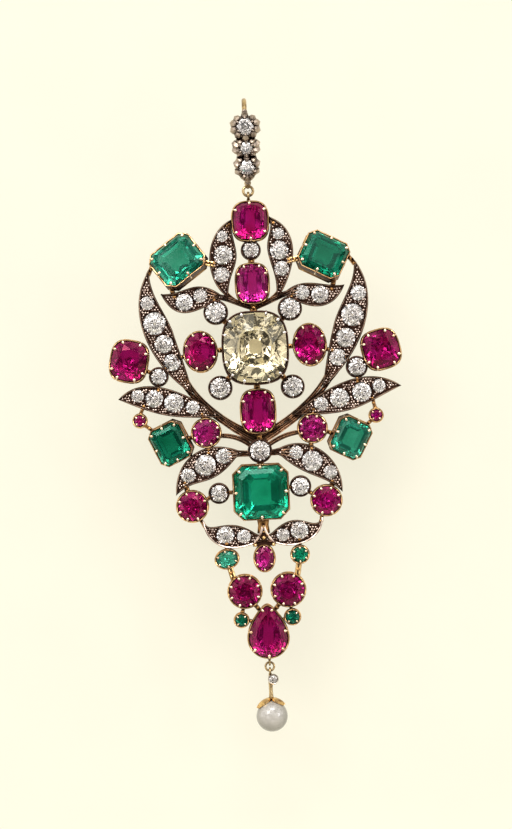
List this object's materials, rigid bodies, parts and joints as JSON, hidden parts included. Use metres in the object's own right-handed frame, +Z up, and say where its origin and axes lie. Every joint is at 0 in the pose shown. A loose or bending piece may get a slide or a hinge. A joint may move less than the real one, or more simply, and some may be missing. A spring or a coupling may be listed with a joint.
{
  "type": "gemstone pendant",
  "caption": "Long gem-set pendant: a soldered openwork frame of leaves, stems and collets that swings from a diamond-set bail and ends in a pearl drop.",
  "frame": {"origin": "the point inside the top of the bail's loop where the chain bears", "axes": "+Z up along the pendant, the set face looks along -Y, +X to the right seen from the front"},
  "size_m": [0.0414, 0.0088, 0.0888],
  "materials": {
    "bail_silver": "worn silver over gold, greyed in its recesses",
    "frame_metal": "silver-fronted leaves oxidised dark brown, red-gold collets with pale gold claws",
    "drop_gold": "polished yellow gold",
    "ruby": "faceted and polished, pinkish red",
    "emerald": "step cut and polished, green",
    "pale_yellow_diamond": "old cushion cut, polished, pale yellow",
    "diamond": "old cut, polished, colourless",
    "nacre": "pearl with a soft silvery lustre"
  },
  "bodies": {
    "bail": {"bail": "bail_silver", "bail_diamonds": "diamond"},
    "pendant": {"frame": "frame_metal", "arch_leaf_left_diamonds": "diamond", "arch_leaf_right_diamonds": "diamond", "base_leaf_left_diamonds": "diamond", "base_leaf_right_diamonds": "diamond", "brow_leaf_left_diamonds": "diamond", "brow_leaf_right_diamonds": "diamond", "centre_diamond": "pale_yellow_diamond", "corner_diamond_lower_left": "diamond", "corner_diamond_lower_right": "diamond", "corner_diamond_upper_left": "diamond", "corner_diamond_upper_right": "diamond", "crown_diamond": "diamond", "crown_leaf_left_diamonds": "diamond", "crown_leaf_right_diamonds": "diamond", "drop_diamond": "diamond", "drop_emerald_left": "emerald", "drop_emerald_right": "emerald", "drop_mount": "drop_gold", "drop_ring": "drop_gold", "drop_ruby_small": "ruby", "flank_diamond_left": "diamond", "flank_diamond_right": "diamond", "flank_ruby_left": "ruby", "flank_ruby_right": "ruby", "foot_emerald_left": "emerald", "foot_emerald_right": "emerald", "inner_ruby_left": "ruby", "inner_ruby_right": "ruby", "knot_diamond": "diamond", "lower_ruby": "ruby", "main_emerald": "emerald", "outer_ruby_left": "ruby", "outer_ruby_right": "ruby", "pear_ruby": "ruby", "pearl": "nacre", "side_diamond_left": "diamond", "side_diamond_right": "diamond", "side_leaf_left_diamonds": "diamond", "side_leaf_right_diamonds": "diamond", "tip_ruby_left": "ruby", "tip_ruby_right": "ruby", "top_ruby": "ruby", "twin_ruby_left": "ruby", "twin_ruby_right": "ruby", "upper_emerald_left": "emerald", "upper_emerald_right": "emerald", "upper_ruby": "ruby", "wing_emerald_left": "emerald", "wing_emerald_right": "emerald", "wing_leaf_left_diamonds": "diamond", "wing_leaf_right_diamonds": "diamond", "wing_ruby_left": "ruby", "wing_ruby_right": "ruby"}
  },
  "joints": [
    {"name": "pendant_swing", "type": "hinge", "parent": "bail", "child": "pendant", "pos_m": [0, 0, -0.01303], "axis": [1, 0, 0], "range_deg": [-60, 60]}
  ]
}
